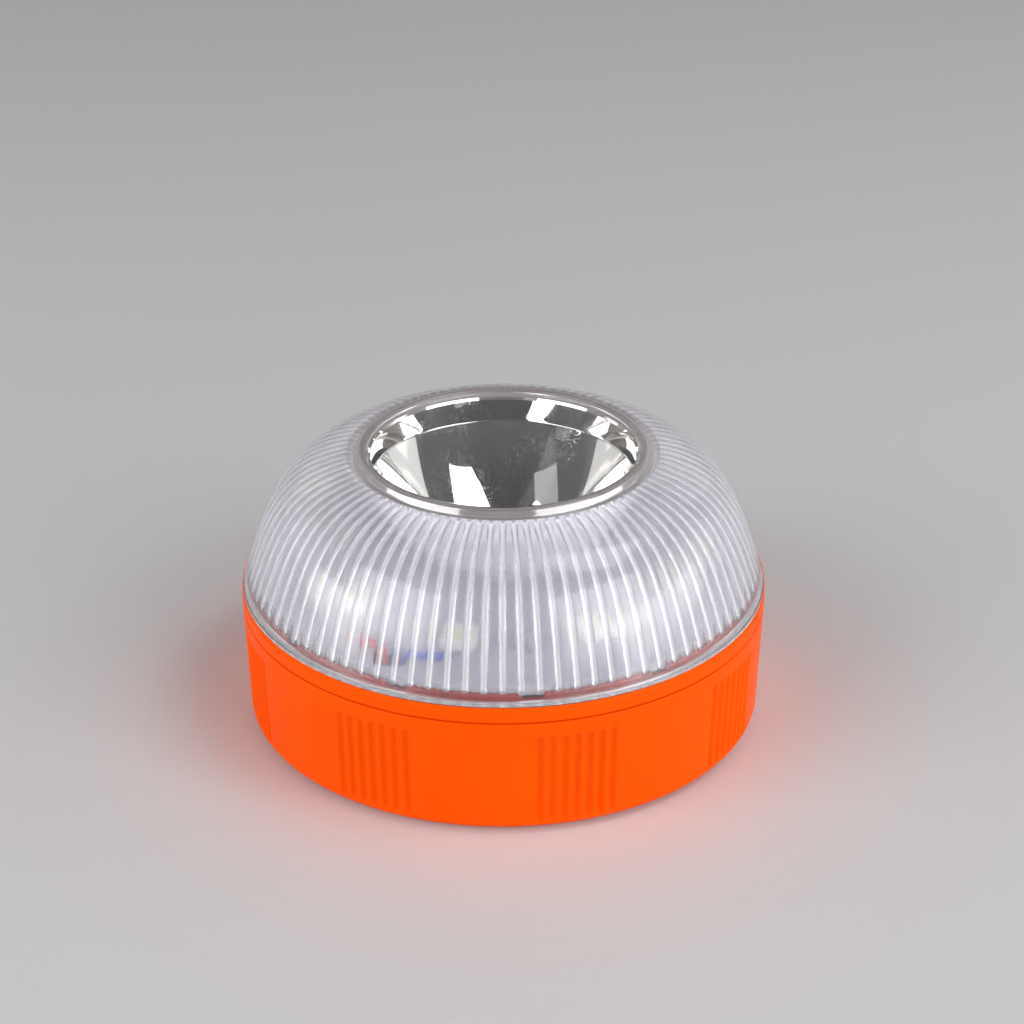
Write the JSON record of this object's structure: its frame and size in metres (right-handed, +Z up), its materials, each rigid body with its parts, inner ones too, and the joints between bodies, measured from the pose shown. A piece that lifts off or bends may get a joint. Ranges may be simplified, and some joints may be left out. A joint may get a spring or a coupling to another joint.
{
  "type": "roadside emergency beacon",
  "caption": "Round roadside emergency beacon: clear ribbed dome with a chromed torch reflector on an orange twist-off base with magnet and power button.",
  "frame": {"origin": "centre of the circle that the rubber pad's lowest face lies on, on the beacon's axis", "axes": "+Z up along the axis of dome, thread and button; the pictured side faces -Y"},
  "size_m": [0.08, 0.08, 0.0428],
  "materials": {
    "clear_plastic": "gloss, clear moulded polycarbonate",
    "chrome": "vacuum-metallised mirror",
    "orange_plastic": "satin moulded ABS",
    "white_board": "white solder mask",
    "led_case": "white package",
    "phosphor": "satin",
    "chip": "matt moulding compound",
    "steel": "nickel-plated",
    "rubber": "matt",
    "red_silicone": "satin silicone",
    "tray_plastic": "matt",
    "cell_jacket": "printed jacket, left plain",
    "magnet": "nickel-plated neodymium",
    "red_wire": "satin insulation",
    "blue_wire": "satin insulation"
  },
  "bodies": {
    "lamp": {"dome_cover": "clear_plastic", "torch_window": "clear_plastic", "reflector": "chrome", "torch_led": "led_case", "torch_led_lens": "phosphor", "led_board": "white_board", "driver_chip": "chip", "capacitor": "phosphor", "boost_coil": "chip", "housing_ring": "orange_plastic", "dome_seal": "red_silicone", "battery_tray": "tray_plastic", "tact_switch": "chip", "contact_positive": "steel", "contact_negative": "steel", "contact_bridge_left": "steel", "contact_bridge_right": "steel", "red_wire": "red_wire", "blue_wire": "blue_wire", "side_led_1": "led_case", "side_led_2": "led_case", "side_led_3": "led_case", "side_led_4": "led_case", "side_led_5": "led_case", "side_led_6": "led_case", "side_led_7": "led_case", "side_led_8": "led_case", "board_screw_1": "steel", "tray_screw_1": "steel", "battery_cell_1": "cell_jacket", "cell_spring_1": "steel", "board_screw_2": "steel", "tray_screw_2": "steel", "battery_cell_2": "cell_jacket", "cell_spring_2": "steel", "board_screw_3": "steel", "tray_screw_3": "steel", "battery_cell_3": "cell_jacket", "cell_spring_3": "steel"},
    "seal_ring": {"cup_seal": "rubber"},
    "cup": {"base_cup": "orange_plastic", "rubber_pad": "rubber", "ring_magnet": "magnet", "button_retainer": "tray_plastic"},
    "button": {"power_button": "rubber", "button_spring": "steel"},
    "plunger": {"tact_plunger": "led_case"}
  },
  "joints": [
    {"name": "cup_drop", "type": "slide", "parent": "lamp", "child": "seal_ring", "axis": [0, 0, -1], "range_m": [0, 0.00501]},
    {"name": "cup_twist", "type": "hinge", "parent": "seal_ring", "child": "cup", "pos_m": [0, 0, 0], "axis": [0, 0, -1], "range_deg": [0, 120]},
    {"name": "button_press", "type": "slide", "parent": "cup", "child": "button", "axis": [0, 0, 1], "range_m": [0, 0.0008], "stiffness_N_per_m": 600, "springref_m": -0.0005, "deforming": ["button_spring"]},
    {"name": "switch_press", "type": "slide", "parent": "lamp", "child": "plunger", "axis": [0, 0, 1], "range_m": [0, 0.00057]}
  ],
  "couplings": [
    {"joint": "cup_drop", "follows": "cup_twist", "m_per_rad": 0.0023873},
    {"joint": "switch_press", "follows": "button_press", "ratio": 0.7}
  ]
}
